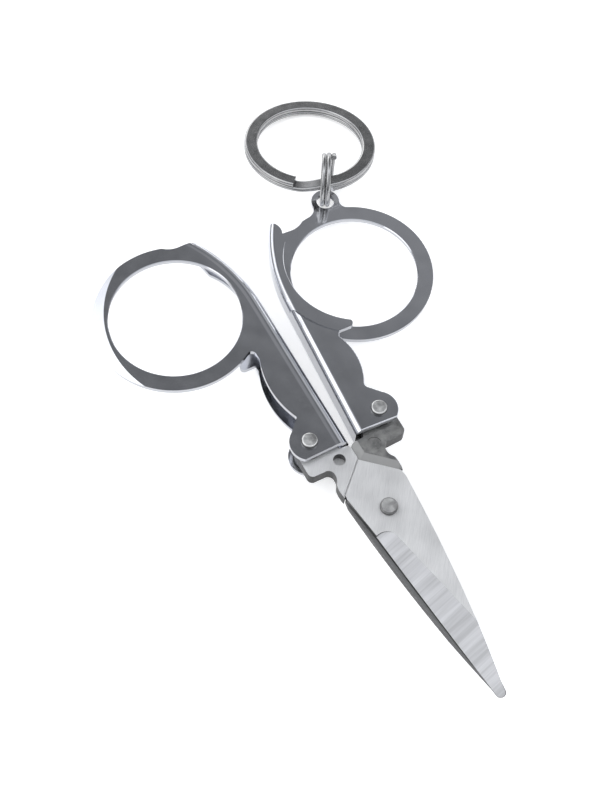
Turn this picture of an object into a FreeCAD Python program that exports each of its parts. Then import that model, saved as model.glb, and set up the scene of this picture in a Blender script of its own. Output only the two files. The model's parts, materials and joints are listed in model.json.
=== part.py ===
"""Folding travel scissors on a split key ring.

Millimetres, +Z up. The scissors lie flat: +Y runs from the blade tips towards the finger rings.
While it is being drawn, the pivot rivet's axis is at x = y = 0 and z = 0 is the plane in which the two
blades slide on each other. At the end everything is moved so that the origin is the bottom centre of
the whole object's box.
"""
import FreeCAD, Part
import math
import os

V = FreeCAD.Vector
Z_AXIS = V(0, 0, 1)
Y_AXIS = V(0, 1, 0)
FAR = 60.0

# Blades: one pressing, used twice, the second one turned over
BLADE_STOCK = 1.30
BLADE_GAP = 0.02
BLADE_TOP = BLADE_STOCK + BLADE_GAP
BLADE_TIP = (0.6, -33.9)
TIP_ROUND = (-0.15, -34.7)
BLUNT_TIP = (-0.85, -34.2)
BLADE_BACK = ((3.35, -17.0), (5.4, 3.6))
EDGE_HEEL = (-4.2, -3.7)
EDGE_MIDDLE = (-2.65, -18.5)
# The bevel's lower border passes outside the edge's heel, so that the bevel gets broader towards the tip
BEVEL_BORDER = (-7.2, -3.95)
BEVEL_END = (-0.53, -35.7)
BEVEL_WIDTH = 5.6
BEVEL_TIP_HEIGHT = 0.3

# Shoulders: the slanting line at which a blade's thin half ends and the tangs begin
SHOULDER_INNER = (0.0, 9.75)
SHOULDER_OUTER = (5.1, 5.1)
SHOULDER_GAP = 0.15
CREASE_WIDTH = 0.22
CREASE_DEPTH = 0.15
CENTRE_GAP = 0.06

# Tangs: full thickness, so that each fills the height of both blades
TANG_HALF = 1.30
TANG_TOP = 1.22
TANG_EYE_RADIUS = 2.55
COIN_WIDTH = 1.35
COIN_DEPTH = 0.4
POCKET = (-2.9, 11.1)
POCKET_RADIUS = 1.05
POCKET_DEPTH = 1.6
DIMPLE = (-3.7, 11.0)
DIMPLE_RADIUS = 1.2
DIMPLE_DEPTH = 0.15

# Rivets
RUNNING_CLEARANCE = 0.05
PIVOT_SHANK_RADIUS = 1.15
PIVOT_HEAD_RADIUS = 1.47
PIVOT_HEAD_TOP_RADIUS = 1.25
PIVOT_HEAD_HEIGHT = 0.8
TANG_SHANK_RADIUS = 1.1
TANG_HEAD_RADIUS = 1.42
TANG_HEAD_HEIGHT = 0.72
WASHER_RADIUS = 2.3
LEFT_RIVET = (-6.2, 15.5)
RIGHT_RIVET = (7.0, 15.5)

# Handles: each is one sheet bent into a channel, with a finger ring on one of its two plates.
# The plate across from the ring is stepped inwards, so that the other handle's ring passes over it.
SHEET = 0.90
PLAY = 0.08
HALF_HEIGHT = TANG_HALF + 2 * SHEET + 2 * PLAY
LEAF_STEP = SHEET + PLAY
RING_SIDE_BEND = 2.5
LEAF_SIDE_BEND = 1.1
INNER_BEND = 0.25
SPINE_CURVE_RADIUS = 33.0
SPINE_CURVE_START = -3.2
HANDLE_TOP = 12.7
LUG_END = -2.55
LUG_NOTCH = (-0.3, 4.9)
RIVET_LUG_RADIUS = 3.35
FINGER_HOLE_RADIUS = 11.5
RING_OUTER_RADIUS = 14.35
RING_ROOT_ANGLE = 232.0
CORNER_ROUND = 0.8
STEP_RADIUS = 16.5
STEP_WIDTH = 0.9
EDGE_ROUND = 0.2
LEAF_CHAMFER = 0.1
HOLE_FLARE = 0.15
# The finger ring's outer face is bevelled on its free side, broadest where it reaches nearest the hole
OUTER_BEVEL_REACH = 12.1
OUTER_BEVEL_OFFSET = 6.9
OUTER_BEVEL_MIDDLE = 14.0
OUTER_BEVEL_SWEEP = 84.0
OUTER_BEVEL_SLOPE = 0.25
KEY_HOLE = (1.8, 16.25)
KEY_HOLE_RADIUS = 1.65
KEY_LUG_RADIUS = 2.6
LEFT_SPINE = 6.1
LEFT_RING = (9.0, 31.5)
RIGHT_SPINE = 5.4
RIGHT_RING = (10.1, 29.3)
RIGHT_TURN = -4.0

# Split rings, two turns of wire each. Their places are given along the lean direction, outwards from
# the key hole: the small ring stands in it, the key ring leans on the table with its far side.
LEAN = (0.545, 0.839)
SMALL_RING_RADIUS = 4.6
SMALL_WIRE = 0.9
SMALL_RING_OUT = 2.95
SMALL_RING_HEIGHT = 0.3
KEY_RING_RADIUS = 11.2
KEY_WIRE = (2.5, 0.95)
KEY_WIRE_ROUND = 0.42
KEY_RING_OUT = 1.6
KEY_RING_HEIGHT = 0.6
KEY_RING_TILT = 11.0
KEY_RING_HELD_AT = 20.0
KEY_RING_END = 24.0
KEY_RING_SPLIT = 35.0


def flat_loop(start, *steps):
    """Closed flat face. A step is a point, reached by a line, or (middle, end), reached by an arc."""
    edges = []
    here = V(*start)
    for step in steps + (start,):
        if isinstance(step[0], tuple):
            middle, end = (V(*point) for point in step)
            edges.append(Part.Arc(here, middle, end).toShape())
        else:
            end = V(*step)
            if here.distanceToPoint(end) < 1e-6:
                continue
            edges.append(Part.LineSegment(here, end).toShape())
        here = end
    return Part.Face(Part.Wire(edges))


def prism(face, low, high):
    """Solid over a flat face, from height low to height high."""
    solid = face.extrude(V(0, 0, high - low))
    solid.translate(V(0, 0, low))
    return solid


def cylinder(centre, radius, low, high):
    return Part.makeCylinder(radius, high - low, V(centre[0], centre[1], low))


def shifted(centre, *points):
    """The points, given from centre, as plain coordinates."""
    return [(centre[0] + x, centre[1] + y) for x, y in points]


def polar(centre, radius, degrees):
    angle = math.radians(degrees)
    return (centre[0] + radius * math.cos(angle), centre[1] + radius * math.sin(angle))


def round_uprights(solid, *rounds):
    """Rounds the solid's vertical corners. Each round is (point, radius)."""
    for (x, y), radius in rounds:
        edges = [
            edge
            for edge in solid.Edges
            if edge.BoundBox.ZLength > 0.1
            and edge.BoundBox.XLength + edge.BoundBox.YLength < 1e-4
            and math.hypot(edge.CenterOfMass.x - x, edge.CenterOfMass.y - y) < 0.4
        ]
        if len(edges) != 1:
            raise ValueError(f"{len(edges)} upright edges at {x:.2f}, {y:.2f}")
        solid = solid.makeFillet(radius, edges)
    return solid


def level_edges(solid, height):
    """The solid's edges that lie wholly at one height."""
    return [
        edge
        for edge in solid.Edges
        if edge.BoundBox.ZLength < 1e-4 and abs(edge.CenterOfMass.z - height) < 1e-4
    ]


def wedge(start, end, width, edge_height, face_height):
    """What a slope removes along the line from start to end, on the line's left.

    The slope rises or falls from edge_height on the line to face_height at the given width.
    """
    line = V(*end) - V(*start)
    along = V(line).normalize()
    left = V(-along.y, along.x, 0)
    up = V(0, 0, math.copysign(1.0, face_height - edge_height))
    drop = V(0, 0, (face_height - edge_height) / width)
    outer = (left + drop) * -2.0 + V(0, 0, edge_height)
    inner = left * width + V(0, 0, face_height)
    corners = [V(*start) + point for point in (outer, inner, inner + up, outer + up * 4)]
    return Part.Face(Part.makePolygon(corners + corners[:1])).extrude(line)


def turned_over(shape):
    """The shape turned half a turn about the scissors' long axis."""
    copy = shape.copy()
    copy.rotate(V(0, 0, 0), Y_AXIS, 180)
    return copy


# Blades ------------------------------------------------------------------------------------------


def behind_shoulder(side, inset):
    """Everything on the handles' side of one shoulder line, moved back from it by inset."""
    start, end = V(*SHOULDER_INNER), V(*SHOULDER_OUTER)
    along = (end - start).normalize()
    back = V(-along.y, along.x, 0)
    corners = [
        start - along * FAR + back * inset,
        end + along * FAR + back * inset,
        end + (along + back) * FAR,
        start + (back - along) * FAR,
    ]
    corners = [(side * corner.x, corner.y) for corner in corners]
    return prism(flat_loop(*corners), -FAR, FAR)


def blade_plate():
    """The upper blade's thin half, from its tip to the shoulders."""
    outline = flat_loop(
        BLADE_TIP,
        BLADE_BACK,
        (5.0, 6.0),
        (-CENTRE_GAP, 10.6),
        (-5.1, 5.6),
        (-5.3, 4.3),
        EDGE_HEEL,
        (EDGE_MIDDLE, BLUNT_TIP),
        (TIP_ROUND, BLADE_TIP),
    )
    plate = prism(outline, BLADE_GAP, BLADE_TOP).cut(behind_shoulder(1, -SHOULDER_GAP))
    return plate.cut(blade_bevel())


def blade_bevel():
    """What grinding the cutting bevel takes off, with the rounded start that the wheel leaves."""
    ground = wedge(BEVEL_BORDER, BEVEL_END, BEVEL_WIDTH, BEVEL_TIP_HEIGHT, BLADE_TOP)
    reach = flat_loop(
        (-9.0, -3.6),
        (-4.4, -3.45),
        ((-2.7, -3.35), (-1.3, -4.6)),
        (6.0, -4.6),
        (6.0, -40.0),
        (-9.0, -40.0),
    )
    return ground.common(prism(reach, 0.0, FAR))


def tang(rivet):
    """The upper blade's full-thickness tang on its left, with the eye for the handle's rivet."""
    eye = TANG_EYE_RADIUS
    x, y = rivet
    outline = flat_loop(
        (-CENTRE_GAP, 8.0),
        (-CENTRE_GAP, 12.2),
        ((-0.35, 12.65), (-0.8, 12.8)),
        (x + 4.45, 12.85),
        (x + eye * 0.5, y + eye * 0.866),
        ((x, y + eye), (x - eye, y)),
        (x - eye, 11.3),
        ((x - eye + 0.3, 10.6), (x - eye + 1.0, 10.35)),
        (-6.1, 10.3),
        ((-5.15, 9.95), (-4.85, 9.1)),
        ((-4.95, 8.3), (-5.45, 7.5)),
        ((-5.65, 6.3), (-5.3, 4.2)),
    )
    block = prism(outline, -TANG_HALF, TANG_TOP).common(behind_shoulder(-1, 0.0))
    inner_corner = (-SHOULDER_INNER[0] - CENTRE_GAP, SHOULDER_INNER[1])
    outer_corner = (-SHOULDER_OUTER[0], SHOULDER_OUTER[1])
    coined = -TANG_HALF + COIN_DEPTH
    for start, end in (((-CENTRE_GAP, 8.0), (-CENTRE_GAP, 12.9)), (outer_corner, inner_corner)):
        block = block.cut(wedge(start, end, COIN_WIDTH, coined, -TANG_HALF))
    pocket = cylinder(POCKET, POCKET_RADIUS, TANG_TOP - POCKET_DEPTH, TANG_TOP)
    dimple = cylinder(DIMPLE, DIMPLE_RADIUS, -TANG_HALF, -TANG_HALF + DIMPLE_DEPTH)
    return block.cut(pocket).cut(dimple).cut(cylinder(rivet, TANG_SHANK_RADIUS, -FAR, FAR))


def blade(rivet, bore_radius):
    """One blade with its tang, as the upper blade lies."""
    whole = blade_plate().fuse(tang(rivet)).removeSplitter()
    return whole.cut(crease()).cut(cylinder((0, 0), bore_radius, -FAR, FAR))


def crease():
    """The groove between a blade's flat face and its own tang."""
    strip = behind_shoulder(-1, 0.0).cut(behind_shoulder(-1, CREASE_WIDTH))
    return strip.common(Part.makeBox(FAR, FAR, FAR, V(-FAR, 0, TANG_TOP - CREASE_DEPTH)))


# Rivets ------------------------------------------------------------------------------------------


def pivot_rivet():
    """Held in the lower blade; the upper blade turns on it."""
    seat = BLADE_TOP + BLADE_GAP
    shank = cylinder((0, 0), PIVOT_SHANK_RADIUS, -BLADE_TOP, seat)
    rim = PIVOT_HEAD_RADIUS - PIVOT_HEAD_TOP_RADIUS
    for sign, base in ((1, seat), (-1, -BLADE_TOP)):
        head = Part.makeCylinder(PIVOT_HEAD_RADIUS, PIVOT_HEAD_HEIGHT, V(0, 0, base), Z_AXIS * sign)
        head = head.makeChamfer(rim, level_edges(head, base + sign * PIVOT_HEAD_HEIGHT)[:1])
        shank = shank.fuse(head)
    return shank.removeSplitter()


def tang_rivet(place):
    """Holds one handle on its tang; slightly domed heads outside both plates."""
    seat = HALF_HEIGHT + BLADE_GAP
    profile = flat_loop(
        (0, seat + TANG_HEAD_HEIGHT),
        (0, 0),
        (TANG_SHANK_RADIUS, 0),
        (TANG_SHANK_RADIUS, seat),
        (TANG_HEAD_RADIUS, seat),
        (TANG_HEAD_RADIUS, seat + TANG_HEAD_HEIGHT - 0.35),
        (
            (TANG_HEAD_RADIUS - 0.12, seat + TANG_HEAD_HEIGHT - 0.16),
            (TANG_HEAD_RADIUS - 0.36, seat + TANG_HEAD_HEIGHT - 0.06),
        ),
    )
    profile.rotate(V(0, 0, 0), V(1, 0, 0), 90)
    half = profile.revolve(V(0, 0, 0), Z_AXIS, 360)
    rivet = half.fuse(half.mirror(V(0, 0, 0), Z_AXIS)).removeSplitter()
    rivet.translate(V(place[0], place[1], 0))
    return rivet


def washer(place, low, high):
    ring = cylinder(place, WASHER_RADIUS, low, high)
    return ring.cut(cylinder(place, TANG_SHANK_RADIUS, low, high))


# Handles -----------------------------------------------------------------------------------------
# Drawn about their own rivet, spine on the left (-X), finger ring ahead (+Y) in the lower plate.


def spine_block(spine, ring, inset, low, high):
    """Solid whose left side follows the spine, inset by the given amount, and is open elsewhere."""
    centre = (SPINE_CURVE_RADIUS - spine, ring[1] + SPINE_CURVE_START)
    radius = SPINE_CURVE_RADIUS - inset
    top = HANDLE_TOP - SPINE_CURVE_START + 8.0
    end_angle = 180 - math.degrees(math.asin(top / radius))
    outline = flat_loop(
        (inset - spine, LUG_END - 5.0),
        (inset - spine, centre[1]),
        (polar(centre, radius, (180 + end_angle) / 2), polar(centre, radius, end_angle)),
        (FAR, centre[1] + top),
        (FAR, LUG_END - 5.0),
    )
    return prism(outline, low, high)


def spine_edges(block, height):
    """The block's long left-hand edges at one height."""
    edges = level_edges(block, height)
    return [edge for edge in edges if edge.BoundBox.XMax < 8.0 and edge.Length > 9.0]


def channel_outside(spine, ring, top):
    """Solid with the bent sheet's outer faces, its top face at the given height."""
    low = -HALF_HEIGHT
    block = spine_block(spine, ring, 0.0, low, top)
    block = block.makeFillet(RING_SIDE_BEND, spine_edges(block, low))
    return block.makeFillet(LEAF_SIDE_BEND, spine_edges(block, top))


def channel(spine, ring, top):
    """Endless bent sheet: bottom plate, rounded spine and a top plate whose outer face is at top."""
    low = SHEET - HALF_HEIGHT
    inside = spine_block(spine, ring, SHEET, low, top - SHEET)
    inside = inside.makeFillet(RING_SIDE_BEND - SHEET, spine_edges(inside, low))
    inside = inside.makeFillet(INNER_BEND, spine_edges(inside, top - SHEET))
    return channel_outside(spine, ring, top).cut(inside)


def body_outline(spine, ring):
    """Plan of both plates from the rivet lug up to the finger ring."""
    reach = math.sqrt(RIVET_LUG_RADIUS**2 - LUG_END**2)
    outside = -spine - 1.0
    root = polar(ring, RING_OUTER_RADIUS, RING_ROOT_ANGLE)
    beyond_step = shifted(ring, (-11.0, -9.0), (outside - ring[0], -5.0))
    return flat_loop(
        (outside, LUG_END),
        (reach, LUG_END),
        ((RIVET_LUG_RADIUS, 0.0), (1.9, 2.76)),
        LUG_NOTCH,
        ((1.1, 11.0), (0.0, ring[1] - 14.0)),
        root,
        *beyond_step,
    )


def ring_plate_outline(spine, ring):
    """Plan of the lower plate's part that carries the finger ring, up to the pointed corner."""
    outside = -spine - 1.0
    rim_height = math.sqrt(RING_OUTER_RADIUS**2 - 4.1**2)
    corner, shoulder, blend, joint = shifted(
        ring, (-10.5, HANDLE_TOP), (-6.6, HANDLE_TOP), (-5.3, 13.0), (-4.1, rim_height)
    )
    root = polar(ring, RING_OUTER_RADIUS, RING_ROOT_ANGLE)
    return flat_loop(
        (outside, ring[1] + HANDLE_TOP),
        corner,
        shoulder,
        (blend, joint),
        (polar(ring, RING_OUTER_RADIUS, 0), root),
        (outside, root[1]),
    )


def leaf_outline(spine, ring):
    """Plan of the upper plate's stepped-in leaf, with its corner that shows beyond the body."""
    outside = -spine - 1.0 - ring[0]
    start, body_side, low, bump, hole_start, hole_middle, hole_end, neck, tip, top, end = shifted(
        ring,
        (outside, -14.5),
        (-11.4, -12.6),
        (-7.4, -12.5),
        (-6.55, -12.1),
        (-6.6, -11.2),
        (-13.0, 0.0),
        (-10.4, 7.8),
        (-10.0, 10.0),
        (-10.1, 11.8),
        (-10.9, HANDLE_TOP),
        (outside, HANDLE_TOP),
    )
    curves = (low, (bump, hole_start), (hole_middle, hole_end), neck, (tip, top))
    return flat_loop(start, body_side, *curves, end)


def finger_hole(ring):
    """The hole's own solid, flared at both ends so that the hole's rims come out rounded."""
    low = -HALF_HEIGHT
    high = low + SHEET
    wide = FINGER_HOLE_RADIUS + HOLE_FLARE
    hole = cylinder(ring, FINGER_HOLE_RADIUS, low - 1, high + 1)
    for z, sign in ((low, 1), (high, -1)):
        place = V(ring[0], ring[1], z)
        cone = Part.makeCone(wide, FINGER_HOLE_RADIUS, HOLE_FLARE, place, Z_AXIS * sign)
        hole = hole.fuse(cone)
    return hole


def outer_bevel(ring):
    """What the broad bevel takes off the finger ring's outer edge.

    It is a cone about an axis behind the ring's centre, so it runs out to nothing at both ends.
    """
    low = -HALF_HEIGHT
    inner = OUTER_BEVEL_REACH + OUTER_BEVEL_OFFSET
    outer = inner + 4.0
    profile = flat_loop((inner, low), (outer, low - 1.0), (outer, low + 4.0 * OUTER_BEVEL_SLOPE))
    profile.rotate(V(0, 0, 0), V(1, 0, 0), 90)
    solid = profile.revolve(V(0, 0, 0), Z_AXIS, OUTER_BEVEL_SWEEP)
    solid.rotate(V(0, 0, 0), Z_AXIS, OUTER_BEVEL_MIDDLE - OUTER_BEVEL_SWEEP / 2)
    solid.translate(V(*polar(ring, -OUTER_BEVEL_OFFSET, OUTER_BEVEL_MIDDLE)))
    return solid


def key_lug_necks(ring):
    """The two corners at which the key lug meets the finger ring, with their rounding radii."""
    distance = math.hypot(*KEY_HOLE)
    along = (distance**2 + RING_OUTER_RADIUS**2 - KEY_LUG_RADIUS**2) / (2 * distance)
    spread = math.degrees(math.acos(along / RING_OUTER_RADIUS))
    middle = math.degrees(math.atan2(KEY_HOLE[1], KEY_HOLE[0]))
    left = polar(ring, RING_OUTER_RADIUS, middle + spread)
    right = polar(ring, RING_OUTER_RADIUS, middle - spread)
    return (left, 2.2), (right, 1.4)


def raised_body(spine, ring, plan):
    """Both plates at full height, from the rivet lug up to the step."""
    low, top = -HALF_HEIGHT, HALF_HEIGHT
    trim = round_uprights(prism(plan, low, top), (LUG_NOTCH, CORNER_ROUND))
    trim = trim.makeFillet(EDGE_ROUND, level_edges(trim, top) + level_edges(trim, low))
    return channel(spine, ring, top).common(trim).cut(cylinder(ring, STEP_RADIUS, low, top))


def ring_plate_trim(spine, ring, plan, has_key_lug):
    """Upright solid over the whole lower plate."""
    low = -HALF_HEIGHT
    trim = prism(ring_plate_outline(spine, ring), low, 0.0)
    if has_key_lug:
        lug = cylinder(shifted(ring, KEY_HOLE)[0], KEY_LUG_RADIUS, low, 0.0)
        trim = round_uprights(trim.fuse(lug).removeSplitter(), *key_lug_necks(ring))
    trim = trim.fuse(prism(plan, low, 0.0)).removeSplitter()
    return round_uprights(trim, (polar(ring, RING_OUTER_RADIUS, RING_ROOT_ANGLE), CORNER_ROUND))


def leaf_trim(spine, ring):
    """Upright solid over the upper plate's leaf, its long rim round the finger hole broken."""
    top = HALF_HEIGHT - LEAF_STEP
    trim = prism(leaf_outline(spine, ring), 0.0, top)
    rims = [edge for edge in level_edges(trim, top) if 15.0 < edge.Length < 25.0]
    return trim.makeChamfer(LEAF_CHAMFER, rims)


def step_strip(spine, ring, plan):
    """The sloping strip that joins the raised plate to the leaf."""
    foot = STEP_RADIUS - STEP_WIDTH
    low, top = HALF_HEIGHT - LEAF_STEP - SHEET, HALF_HEIGHT
    strip = cylinder(ring, STEP_RADIUS, low, top).cut(cylinder(ring, foot, low, top))
    slope = Part.makeCone(foot, STEP_RADIUS, LEAF_STEP, V(ring[0], ring[1], top - LEAF_STEP))
    strip = strip.cut(slope).common(prism(plan, low, top))
    return strip.common(channel_outside(spine, ring, top))


def handle(spine, ring, has_key_lug):
    """One handle, drawn about its rivet."""
    plan = body_outline(spine, ring)
    trim = ring_plate_trim(spine, ring, plan, has_key_lug).fuse(leaf_trim(spine, ring))
    lowered = channel(spine, ring, HALF_HEIGHT - LEAF_STEP).common(trim)
    whole = raised_body(spine, ring, plan).fuse([lowered, step_strip(spine, ring, plan)])
    whole = whole.cut(finger_hole(ring)).cut(outer_bevel(ring))
    whole = whole.cut(cylinder((0, 0), TANG_SHANK_RADIUS + RUNNING_CLEARANCE, -FAR, FAR))
    if has_key_lug:
        whole = whole.cut(cylinder(shifted(ring, KEY_HOLE)[0], KEY_HOLE_RADIUS, -FAR, FAR))
    return whole.removeSplitter()


def left_handle():
    """Ring plate on top, spine towards the middle."""
    shape = turned_over(handle(LEFT_SPINE, LEFT_RING, False))
    shape.translate(V(*LEFT_RIVET))
    return shape


def onto_right_handle(shape):
    """Moves a shape drawn about the right handle's rivet to where it belongs."""
    shape.rotate(V(0, 0, 0), Z_AXIS, RIGHT_TURN)
    shape.translate(V(*RIGHT_RIVET))
    return shape


# Split rings -------------------------------------------------------------------------------------


def swept(profile, path_points):
    """The profile carried along a smooth path, always upright."""
    curve = Part.BSplineCurve()
    curve.interpolate(path_points)
    sweep = Part.BRepOffsetAPI.MakePipeShell(Part.Wire(curve.toShape()))
    sweep.setBiNormalMode(Z_AXIS)
    sweep.add(profile)
    sweep.build()
    sweep.makeSolid()
    return Part.Solid(sweep.shape())


def ring_path(radius, height_at, start, turn, step=10.0):
    """Points on a circle, from one angle on by turn degrees, at the heights that height_at gives."""
    count = round(turn / step)
    points = []
    for index in range(count + 1):
        fraction = index / count
        x, y = polar((0, 0), radius, start + turn * fraction)
        points.append(V(x, y, height_at(turn * fraction)))
    return points


def small_ring():
    """Round wire wound twice, drawn flat about its own centre, its ends at the far side (+X)."""
    pitch = SMALL_WIRE + 0.03
    turn = 730.0
    points = ring_path(SMALL_RING_RADIUS, lambda angle: pitch * (angle - turn / 2) / 360, 55.0, turn)
    tangent = points[1] - points[0]
    circle = Part.makeCircle(SMALL_WIRE / 2, points[0], V(tangent.x, tangent.y, 0))
    return swept(Part.Wire(circle), points)


def key_ring():
    """Flattened wire wound twice, drawn flat; it changes level between its two ends."""
    width, thickness = KEY_WIRE
    rise = thickness + 0.03
    ramp_start = 360.0 - KEY_RING_SPLIT + 1.0
    ramp_turn = KEY_RING_SPLIT - 2.0

    def height_at(angle):
        fraction = min(max((angle - ramp_start) / ramp_turn, 0.0), 1.0)
        return rise * (fraction * fraction * (3 - 2 * fraction) - 0.5)

    points = ring_path(KEY_RING_RADIUS, height_at, 0.0, 720.0 - KEY_RING_SPLIT, 5.0)
    corner = V(KEY_RING_RADIUS - width / 2, 0, -rise / 2 - thickness / 2)
    flat = Part.makeBox(width, 1.0, thickness, corner)
    flat = flat.makeFillet(KEY_WIRE_ROUND, [edge for edge in flat.Edges if edge.BoundBox.YLength > 0.9])
    section = next(face for face in flat.Faces if face.BoundBox.YMax < 1e-4)
    return swept(section.OuterWire, points)


def key_hole_place():
    """Centre of the key hole in the right handle's lug, at the height of that lug's middle."""
    marker = Part.Vertex(*shifted(RIGHT_RING, KEY_HOLE)[0], SHEET / 2 - HALF_HEIGHT)
    return onto_right_handle(marker).Point


def placed_small_ring():
    """The small ring standing in the key hole, leaning outwards."""
    lean = V(*LEAN)
    shape = small_ring()
    shape.rotate(V(0, 0, 0), V(1, 0, 0), 90)
    shape.rotate(V(0, 0, 0), Z_AXIS, math.degrees(math.atan2(lean.y, lean.x)))
    hole = key_hole_place()
    shape.translate(V(hole.x, hole.y, SMALL_RING_HEIGHT) + lean * SMALL_RING_OUT)
    return shape


def placed_key_ring():
    """The key ring held by the small ring, its far side lower."""
    lean = V(*LEAN)
    shape = key_ring()
    shape.rotate(V(0, 0, 0), Z_AXIS, KEY_RING_END)
    held = V(*polar((0, 0), KEY_RING_RADIUS, KEY_RING_HELD_AT))
    shape.translate(-held)
    near = math.degrees(math.atan2(-lean.y, -lean.x))
    shape.rotate(V(0, 0, 0), Z_AXIS, near)
    shape.rotate(V(0, 0, 0), V(-lean.y, lean.x, 0), KEY_RING_TILT)
    hole = key_hole_place()
    shape.translate(V(hole.x, hole.y, KEY_RING_HEIGHT) + lean * KEY_RING_OUT)
    return shape


# The whole ---------------------------------------------------------------------------------------


def all_parts():
    """Every piece, by name."""
    mirrored_rivet = (-RIGHT_RIVET[0], RIGHT_RIVET[1])
    bore = PIVOT_SHANK_RADIUS
    under_plate = HALF_HEIGHT - SHEET - PLAY
    parts = {
        "upper_blade": blade(LEFT_RIVET, bore + RUNNING_CLEARANCE),
        "lower_blade": turned_over(blade(mirrored_rivet, bore)),
        "pivot_rivet": pivot_rivet(),
        "left_handle": left_handle(),
        "right_handle": onto_right_handle(handle(RIGHT_SPINE, RIGHT_RING, True)),
        "small_split_ring": placed_small_ring(),
        "key_split_ring": placed_key_ring(),
    }
    tang_heights = {"left": (-TANG_HALF, TANG_TOP), "right": (-TANG_TOP, TANG_HALF)}
    for side, place in (("left", LEFT_RIVET), ("right", RIGHT_RIVET)):
        bottom, top = tang_heights[side]
        parts[f"{side}_handle_rivet"] = tang_rivet(place)
        parts[f"{side}_washer_upper"] = washer(place, top, under_plate)
        parts[f"{side}_washer_lower"] = washer(place, -under_plate, bottom)
    return parts


def export(parts):
    """Moves everything onto the origin and writes one file per piece."""
    boxes = [shape.optimalBoundingBox(False, False) for shape in parts.values()]
    middle_x = (min(box.XMin for box in boxes) + max(box.XMax for box in boxes)) / 2
    middle_y = (min(box.YMin for box in boxes) + max(box.YMax for box in boxes)) / 2
    bottom = min(box.ZMin for box in boxes)
    os.makedirs("parts", exist_ok=True)
    for name, shape in parts.items():
        shape.translate(V(-middle_x, -middle_y, -bottom))
        shape.exportStep(f"parts/{name}.step")
    print(f"pivot axis at {-middle_x:.4f}, {-middle_y:.4f}, blade plane at {-bottom:.4f}")


export(all_parts())
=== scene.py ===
"""Folding travel scissors on a split key ring: finishes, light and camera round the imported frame."""
import bpy
import json
import math
from mathutils import Matrix, Vector


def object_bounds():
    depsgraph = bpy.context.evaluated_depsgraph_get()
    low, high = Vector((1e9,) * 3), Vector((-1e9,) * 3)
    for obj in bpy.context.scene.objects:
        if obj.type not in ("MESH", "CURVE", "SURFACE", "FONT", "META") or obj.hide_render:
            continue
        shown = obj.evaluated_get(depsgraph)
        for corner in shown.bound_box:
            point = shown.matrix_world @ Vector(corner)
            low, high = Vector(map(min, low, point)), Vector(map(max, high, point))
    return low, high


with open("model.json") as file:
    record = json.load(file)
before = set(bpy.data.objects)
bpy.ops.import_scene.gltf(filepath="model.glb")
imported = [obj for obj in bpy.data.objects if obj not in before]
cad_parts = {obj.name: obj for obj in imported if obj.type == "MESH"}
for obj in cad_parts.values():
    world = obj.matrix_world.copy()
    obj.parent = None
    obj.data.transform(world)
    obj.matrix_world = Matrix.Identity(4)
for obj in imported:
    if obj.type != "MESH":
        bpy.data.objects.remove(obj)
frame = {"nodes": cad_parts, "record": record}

CAD_BOUNDS = [list(corner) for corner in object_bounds()]

# The photograph's view: where it looks, from which side and how far away
VIEW_AZIMUTH = math.radians(-33.1)
VIEW_ELEVATION = math.radians(62.1)
VIEW_ROLL = math.radians(5.0)
VIEW_DISTANCE = 0.2203
VIEW_LENS = 58.5
VIEW_SENSOR = 36.0
VIEW_CLIP_START = 0.005
AIM_FROM_PIVOT = Vector((-0.00297, 0.02441, 0.0))

# The line where a blade's tang begins, from the pivot: y + SHOULDER_SLANT * |x| = SHOULDER_REACH
SHOULDER_SLANT = 0.912
SHOULDER_REACH = 0.00975

# Finishes. Two colours, or two numbers for roughness or metallic, are the ends that a pattern runs
# between. Lines have a direction in degrees about Z, and a bump has a strength and a depth in metres. A
# FACING mask goes from end to end by how far a face looks up: 1 on top, 0 on a wall, -1 underneath.
CHROME_PLATE = ((0.63, 0.64, 0.68), (0.76, 0.77, 0.80))
# Painted shade: chrome walls are darkened towards this colour, by the share given, in place of dark
# reflections at the edges
CHROME_SHADED_WALL = (0.34, 0.345, 0.36)
CHROME_SHADED_WALL_SHARE = 0.55
CHROME_SHADED_WALL_FACING = (0.15, 0.35)
# Painted shade: slanted undersides, such as the spines' lower bends, are darkened to this colour
CHROME_SHADED_UNDER = (0.16, 0.165, 0.18)
CHROME_SHADED_UNDER_BEGINS_FACING = (-0.85, -0.6)
CHROME_SHADED_UNDER_ENDS_FACING = (-0.35, -0.1)
CHROME_HAIRLINES = 20.0
CHROME_CROSSING = -48.0
CHROME_ROUGHNESS = (0.07, 0.17)
CHROME_SWELL_BUMP = (0.35, 0.0003)
CHROME_SCRATCH_BUMP = (0.10, 0.00001)

STEEL_FACE = ((0.71, 0.71, 0.71), (0.90, 0.90, 0.895))
STEEL_BEVEL = ((0.44, 0.44, 0.445), (0.59, 0.59, 0.60))
STEEL_COINED = ((0.17, 0.17, 0.17), (0.38, 0.38, 0.37))
STEEL_SHOULDER = (0.28, 0.28, 0.275)
# Painted shade: the faces between the blades, ahead of the shoulder, are darkened towards this colour
STEEL_SHADED_INNER = (0.12, 0.12, 0.12)
STEEL_SHADED_INNER_SHARE = 0.8
# Painted shade: the blades' walls are darkened to near black
STEEL_SHADED_EDGE = (0.05, 0.05, 0.05)
STEEL_FLAT_FACING = (0.987, 0.995)
STEEL_SHADED_EDGE_FACING = (0.25, 0.6)
STEEL_GRAIN = -52.0
STEEL_FINE_GRAIN = -49.0
STEEL_GRINDING = -12.0
STEEL_METALLIC = (0.72, 0.95)
STEEL_ROUGHNESS = (0.36, 0.46)
STEEL_BUMP = (0.30, 0.00004)
STEEL_COINED_DEPTH = 9.0

RIVET_FACE = ((0.50, 0.50, 0.495), (0.74, 0.74, 0.73))
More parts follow.
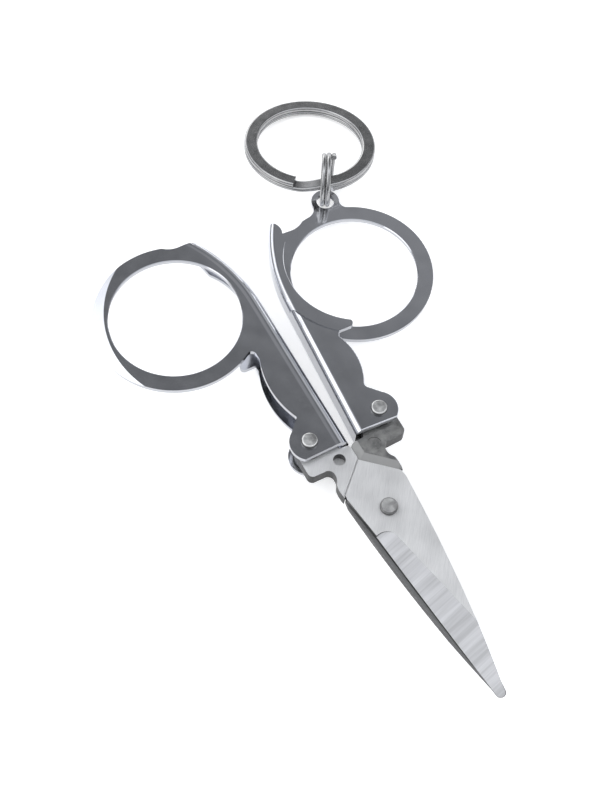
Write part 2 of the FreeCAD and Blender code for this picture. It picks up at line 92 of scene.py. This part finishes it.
# Painted shade: the rivet heads' sides and chamfers are darkened to this colour
RIVET_SHADED_WAIST = (0.07, 0.07, 0.07)
RIVET_SHADED_WAIST_FACING = (0.6, 0.9)
RIVET_METALLIC = 0.95
RIVET_ROUGHNESS = (0.26, 0.42)
RIVET_BUMP = (0.4, 0.00003)

RING_WIRE = ((0.35, 0.35, 0.35), (0.41, 0.41, 0.41))
RING_ROUGHNESS = (0.17, 0.23)
RING_BUMP = (0.12, 0.00001)

FLOOR_TONE = ((0.90, 0.90, 0.90), (0.92, 0.92, 0.92))
FLOOR_ROUGHNESS = 0.9
FLOOR_GLOW = 0.45

# Floor: half its width, and how far it lies below the object
FLOOR_REACH = 3.0
FLOOR_GAP = 0.00002

# The light tent: its brightness and tint, its dark opening's direction, then grey levels (position,
# level) by nearness to that direction and by height above the table
TENT_STRENGTH = 1.95
TENT_TINT = (0.97, 0.98, 1.0)
TENT_OPENING = Vector((0.46, 0.49, 0.741))
TENT_ROOF = (
    (0.0, 0.42),
    (0.35, 0.42),
    (0.58, 0.55),
    (0.66, 1.15),
    (0.76, 0.78),
    (0.86, 0.40),
    (0.92, 0.13),
    (0.955, 0.08),
    (1.0, 0.17),
)
TENT_WALL = ((0.0, 1.0), (0.05, 0.9), (0.08, 0.10), (0.13, 0.10), (0.17, 0.35), (0.30, 0.45), (0.42, 1.0))

# Soft lamps: the direction they stand in, and their width and height
LAMPS = {
    "lamp_left": ((-1.0, 0.2, 0.9), (1.0, 1.0)),
    "lamp_back": ((0.2, 1.0, 0.2), (1.2, 0.4)),
}
LAMP_DISTANCE = 1.2
LAMP_POWER = 3.0


def joint_place(name):
    """A joint's point in the row frame."""
    joints = frame["record"]["behaviour"]["joints"]
    return Vector(next(joint["pos_m"] for joint in joints if joint["name"] == name))


PIVOT = joint_place("blade_pivot")


# Materials ---------------------------------------------------------------------------------------


def opaque(colour):
    """A colour for a socket: another socket as it is, or (r, g, b) with full alpha."""
    return colour if isinstance(colour, bpy.types.NodeSocket) else (*colour, 1.0)


class Nodes:
    """Shorthand for building one material's nodes. Inputs i0, i1 and so on go by their number."""

    def __init__(self, name):
        self.material = bpy.data.materials.new(name)
        self.material.use_nodes = True
        self.tree = self.material.node_tree
        self.tree.nodes.clear()
        output = self.tree.nodes.new("ShaderNodeOutputMaterial")
        self.shader = self.tree.nodes.new("ShaderNodeBsdfPrincipled")
        self.tree.links.new(self.shader.outputs[0], output.inputs[0])
        self.place = self.tree.nodes.new("ShaderNodeTexCoord").outputs["Object"]

    def add(self, kind, settings=None, **inputs):
        node = self.tree.nodes.new(kind)
        for key, value in (settings or {}).items():
            setattr(node, key, value)
        for key, value in inputs.items():
            self.set(node, key, value)
        return node

    def set(self, node, key, value):
        """Links a socket to a node's input, or writes a constant there."""
        socket = node.inputs[int(key[1:])] if key[0] == "i" and key[1:].isdigit() else node.inputs[key]
        if isinstance(value, bpy.types.NodeSocket):
            self.tree.links.new(value, socket)
        else:
            socket.default_value = value

    def math(self, operation, a, b=0.0):
        return self.add("ShaderNodeMath", {"operation": operation}, i0=a, i1=b).outputs[0]

    def plus(self, value, extra, share):
        """A value and a share of another one."""
        return self.math("ADD", value, self.math("MULTIPLY", extra, share))

    def span(self, value, low, high, to_low=0.0, to_high=1.0):
        """The value's way from low to high, as a number from to_low to to_high."""
        return self.add("ShaderNodeMapRange", i0=value, i1=low, i2=high, i3=to_low, i4=to_high).outputs[0]

    def split(self, vector):
        """A vector's X, Y and Z."""
        return self.add("ShaderNodeSeparateXYZ", i0=vector).outputs

    def facing_up(self):
        """How far the surface faces up: 1 on top, 0 on a wall, -1 underneath."""
        return self.split(self.add("ShaderNodeNewGeometry").outputs["Normal"])[2]

    def noise(self, vector, scale, detail=2.0, roughness=0.55):
        node = self.add("ShaderNodeTexNoise", Vector=vector, Scale=scale, Detail=detail, Roughness=roughness)
        return node.outputs["Fac"]

    def lines(self, degrees, along, across, scale, detail=2.0):
        """Noise turned about Z and drawn out into lines by its stretch along and across them."""
        turn = self.add("ShaderNodeMapping", i0=self.place, Rotation=(0.0, 0.0, math.radians(degrees)))
        stretch = self.add("ShaderNodeMapping", i0=turn.outputs[0], Scale=(along, across, 1.0))
        return self.noise(stretch.outputs[0], scale, detail)

    def mixed(self, factor, first, second):
        """The colour between two others."""
        ends = {"i6": opaque(first), "i7": opaque(second)}
        return self.add("ShaderNodeMix", {"data_type": "RGBA"}, i0=factor, **ends).outputs[2]

    def between(self, factor, first, second):
        """The number between two others."""
        return self.add("ShaderNodeMix", i0=factor, i2=first, i3=second).outputs[0]

    def bump(self, height, strength, distance, normal=None):
        node = self.add("ShaderNodeBump", Height=height, Strength=strength, Distance=distance)
        if normal is not None:
            self.set(node, "Normal", normal)
        return node.outputs[0]


def chrome():
    """Polished plate: uneven, with hairlines and cloudy patches, and painted shade darkening the walls and
    slanted undersides.
    """
    n = Nodes("handle_chrome")
    hairlines = n.lines(CHROME_HAIRLINES, 1.0, 14.0, 900.0)
    crossing = n.lines(CHROME_CROSSING, 1.0, 18.0, 700.0)
    swell = n.noise(n.place, 160.0, 1.0)
    cloud = n.noise(n.place, 260.0, 4.0)
    upright = n.facing_up()
    # Painted shade on the walls
    wall = n.span(n.math("ABSOLUTE", upright), *CHROME_SHADED_WALL_FACING, CHROME_SHADED_WALL_SHARE, 0.0)
    # Painted shade on the slanted undersides
    begun = n.span(upright, *CHROME_SHADED_UNDER_BEGINS_FACING)
    under = n.math("MULTIPLY", begun, n.span(upright, *CHROME_SHADED_UNDER_ENDS_FACING, 1.0, 0.0))
    plate = n.mixed(wall, n.mixed(cloud, *CHROME_PLATE), CHROME_SHADED_WALL)
    n.set(n.shader, "Base Color", n.mixed(under, plate, CHROME_SHADED_UNDER))
    n.shader.inputs["Metallic"].default_value = 1.0
    n.set(n.shader, "Roughness", n.span(n.plus(cloud, hairlines, 0.6), 0.5, 1.1, *CHROME_ROUGHNESS))
    uneven = n.bump(swell, *CHROME_SWELL_BUMP)
    n.set(n.shader, "Normal", n.bump(n.math("ADD", hairlines, crossing), *CHROME_SCRATCH_BUMP, uneven))
    return n.material


def blade_regions(n, upright):
    """Two masks: the tang faces that the press has coined, and the hollow faces between the blades, which
    get painted shade.
    """
    from_pivot = n.add("ShaderNodeVectorMath", {"operation": "SUBTRACT"}, i0=n.place, i1=PIVOT)
    across, along, height = n.split(from_pivot.outputs[0])
    to_shoulder = n.plus(along, n.math("ABSOLUTE", across), SHOULDER_SLANT)
    behind = n.math("GREATER_THAN", to_shoulder, SHOULDER_REACH)
    # The right tang is coined on top, the left one underneath
    own_side = n.math("GREATER_THAN", n.math("MULTIPLY", across, upright), 0.0)
    inwards = n.math("LESS_THAN", n.math("MULTIPLY", height, upright), 0.0)
    coined = n.math("MULTIPLY", behind, own_side)
    return coined, n.math("MULTIPLY", inwards, n.math("SUBTRACT", 1.0, behind))


def steel_patterns(n):
    """The marks on the faces, on the bevels and on the coined tangs, and soft patches all over."""
    grain = n.lines(STEEL_GRAIN, 1.0, 26.0, 380.0, 3.0)
    fine = n.lines(STEEL_FINE_GRAIN, 1.0, 50.0, 800.0)
    waves = n.lines(STEEL_GRINDING, 0.25, 5.0, 160.0)
    ripples = n.lines(STEEL_GRINDING, 0.4, 16.0, 260.0)
    brushed = n.plus(grain, fine, 0.6)
    ground = n.plus(waves, ripples, 0.35)
    mottled = n.noise(n.place, 480.0, 5.0, 0.65)
    patches = n.noise(n.place, 260.0, 4.0)
    return brushed, ground, mottled, patches


def blade_steel():
    """Brushed steel: grain across the faces, grinding waves on the bevels, mottled coined tangs, and painted
    shade on the walls and between the blades.
    """
    n = Nodes("blade_steel")
    upright = n.facing_up()
    levelness = n.math("ABSOLUTE", upright)
    flat = n.span(levelness, *STEEL_FLAT_FACING)
    shaded_edge = n.span(levelness, *STEEL_SHADED_EDGE_FACING, 1.0, 0.0)
    coined, shade_between = blade_regions(n, upright)
    brushed, ground, mottled, patches = steel_patterns(n)

    tone = n.plus(n.math("MULTIPLY", brushed, 0.55), patches, 0.25)
    face = n.mixed(n.span(tone, 0.35, 0.75), *STEEL_FACE)
    bevel = n.mixed(n.span(ground, 0.52, 0.82), *STEEL_BEVEL)
    skin = n.mixed(n.span(mottled, 0.35, 0.65), *STEEL_COINED)
    # Painted shade between the blades
    shaded = n.math("MULTIPLY", shade_between, STEEL_SHADED_INNER_SHARE)
    colour = n.mixed(shaded, n.mixed(flat, bevel, face), STEEL_SHADED_INNER)
    colour = n.mixed(coined, colour, n.mixed(flat, STEEL_SHOULDER, skin))
    # Painted shade on the walls
    n.set(n.shader, "Base Color", n.mixed(shaded_edge, colour, STEEL_SHADED_EDGE))

    n.set(n.shader, "Metallic", n.span(shaded_edge, 0.0, 1.0, *STEEL_METALLIC))
    n.set(n.shader, "Roughness", n.span(patches, 0.3, 0.7, *STEEL_ROUGHNESS))
    height = n.between(flat, ground, brushed)
    height = n.between(coined, height, n.math("MULTIPLY", mottled, STEEL_COINED_DEPTH))
    n.set(n.shader, "Normal", n.bump(height, *STEEL_BUMP))
    return n.material


def satin_nickel():
    """Rivets and washers: tumbled, slightly warm, with small dents, and painted shade darkening the sides
    and chamfers.
    """
    n = Nodes("rivet_nickel")
    # Painted shade on the sides
    shaded_waist = n.span(n.math("ABSOLUTE", n.facing_up()), *RIVET_SHADED_WAIST_FACING, 1.0, 0.0)
    dents = n.noise(n.place, 1400.0)
    patches = n.noise(n.place, 900.0, 4.0)
    face = n.mixed(n.span(patches, 0.35, 0.65), *RIVET_FACE)
    n.set(n.shader, "Base Color", n.mixed(shaded_waist, face, RIVET_SHADED_WAIST))
    n.shader.inputs["Metallic"].default_value = RIVET_METALLIC
    n.set(n.shader, "Roughness", n.span(patches, 0.3, 0.7, *RIVET_ROUGHNESS))
    n.set(n.shader, "Normal", n.bump(dents, *RIVET_BUMP))
    return n.material


def ring_nickel():
    """Ring wire: drawn nickel, with faint wear and fine drawing marks."""
    n = Nodes("ring_nickel")
    wear = n.noise(n.place, 500.0, 4.0)
    drawn = n.noise(n.place, 2200.0)
    n.set(n.shader, "Base Color", n.mixed(n.span(wear, 0.3, 0.7), *RING_WIRE))
    n.shader.inputs["Metallic"].default_value = 1.0
    n.set(n.shader, "Roughness", n.span(wear, 0.3, 0.7, *RING_ROUGHNESS))
    n.set(n.shader, "Normal", n.bump(drawn, *RING_BUMP))
    return n.material


def floor_paint():
    """Pale, slightly lit from within, like a light table."""
    n = Nodes("floor_paint")
    tone = n.noise(n.place, 6.0, 3.0)
    n.set(n.shader, "Base Color", n.mixed(tone, *FLOOR_TONE))
    n.shader.inputs["Roughness"].default_value = FLOOR_ROUGHNESS
    n.shader.inputs["Emission Color"].default_value = (1.0, 1.0, 1.0, 1.0)
    n.shader.inputs["Emission Strength"].default_value = FLOOR_GLOW
    return n.material


def finish_nodes():
    """Gives every CAD node its slot's material."""
    finishes = {
        "blade_steel": blade_steel(),
        "handle_chrome": chrome(),
        "rivet_nickel": satin_nickel(),
        "ring_nickel": ring_nickel(),
    }
    for part in frame["record"]["subparts"]:
        piece = frame["nodes"][part["node"]]
        for slot in piece.material_slots:
            slot.material = finishes[part["material_slot"]]


# Stage -------------------------------------------------------------------------------------------


def make_floor():
    """Plain pale floor just below the object."""
    mesh = bpy.data.meshes.new("floor")
    sides = ((-1, -1), (1, -1), (1, 1), (-1, 1))
    mesh.from_pydata([(x * FLOOR_REACH, y * FLOOR_REACH, 0.0) for x, y in sides], [], [(0, 1, 2, 3)])
    floor = bpy.data.objects.new("floor", mesh)
    floor.location.z = CAD_BOUNDS[0][2] - FLOOR_GAP
    mesh.materials.append(floor_paint())
    bpy.context.scene.collection.objects.link(floor)


def grey_ramp(tree, value, stops):
    """Tinted grey along a value, from (position, level) stops."""
    ramp = tree.nodes.new("ShaderNodeValToRGB")
    elements = ramp.color_ramp.elements
    while len(elements) < len(stops):
        elements.new(0.5)
    for element, (position, level) in zip(elements, stops):
        element.position = position
        element.color = (*(level * tint for tint in TENT_TINT), 1.0)
    tree.links.new(value, ramp.inputs[0])
    return ramp.outputs[0]


def make_world():
    """Light tent: a dark opening behind and above the object, and walls that are dark near the table."""
    world = bpy.data.worlds.new("tent")
    bpy.context.scene.world = world
    world.use_nodes = True
    tree = world.node_tree
    tree.nodes.clear()
    output = tree.nodes.new("ShaderNodeOutputWorld")
    light = tree.nodes.new("ShaderNodeBackground")
    light.inputs["Strength"].default_value = TENT_STRENGTH
    tree.links.new(light.outputs[0], output.inputs[0])
    direction = tree.nodes.new("ShaderNodeTexCoord").outputs["Generated"]
    nearness = tree.nodes.new("ShaderNodeVectorMath")
    nearness.operation = "DOT_PRODUCT"
    nearness.inputs[1].default_value = TENT_OPENING
    tree.links.new(direction, nearness.inputs[0])
    height = tree.nodes.new("ShaderNodeSeparateXYZ")
    tree.links.new(direction, height.inputs[0])
    both = tree.nodes.new("ShaderNodeMix")
    both.data_type = "RGBA"
    both.blend_type = "MULTIPLY"
    both.inputs[0].default_value = 1.0
    tree.links.new(grey_ramp(tree, nearness.outputs["Value"], TENT_ROOF), both.inputs[6])
    tree.links.new(grey_ramp(tree, height.outputs[2], TENT_WALL), both.inputs[7])
    tree.links.new(both.outputs[2], light.inputs["Color"])


def make_lamp(name, direction, size):
    """Soft area lamp that shines from a direction on the object's middle."""
    data = bpy.data.lights.new(name, "AREA")
    data.shape = "RECTANGLE"
    data.size, data.size_y = size
    data.energy = LAMP_POWER
    lamp = bpy.data.objects.new(name, data)
    away = Vector(direction).normalized()
    lamp.rotation_euler = away.to_track_quat("Z", "Y").to_euler()
    lamp.location = away * LAMP_DISTANCE
    bpy.context.scene.collection.objects.link(lamp)


def make_camera():
    """Camera at the photograph's viewing angle."""
    back = Vector((
        math.cos(VIEW_ELEVATION) * math.sin(VIEW_AZIMUTH),
        -math.cos(VIEW_ELEVATION) * math.cos(VIEW_AZIMUTH),
        math.sin(VIEW_ELEVATION),
    ))
    level = Vector((0.0, 0.0, 1.0)).cross(back).normalized()
    upright = back.cross(level)
    right = math.cos(VIEW_ROLL) * level + math.sin(VIEW_ROLL) * upright
    up = back.cross(right)
    turn = Matrix((right, up, back)).transposed().to_4x4()
    data = bpy.data.cameras.new("camera")
    data.lens = VIEW_LENS
    data.sensor_width = VIEW_SENSOR
    data.clip_start = VIEW_CLIP_START
    camera = bpy.data.objects.new("camera", data)
    camera.matrix_world = Matrix.Translation(PIVOT + AIM_FROM_PIVOT + back * VIEW_DISTANCE) @ turn
    bpy.context.scene.collection.objects.link(camera)
    bpy.context.scene.camera = camera


finish_nodes()
make_floor()
make_world()
for lamp_name, (lamp_direction, lamp_size) in LAMPS.items():
    make_lamp(lamp_name, lamp_direction, lamp_size)
make_camera()
bpy.context.scene.view_settings.view_transform = "Standard"
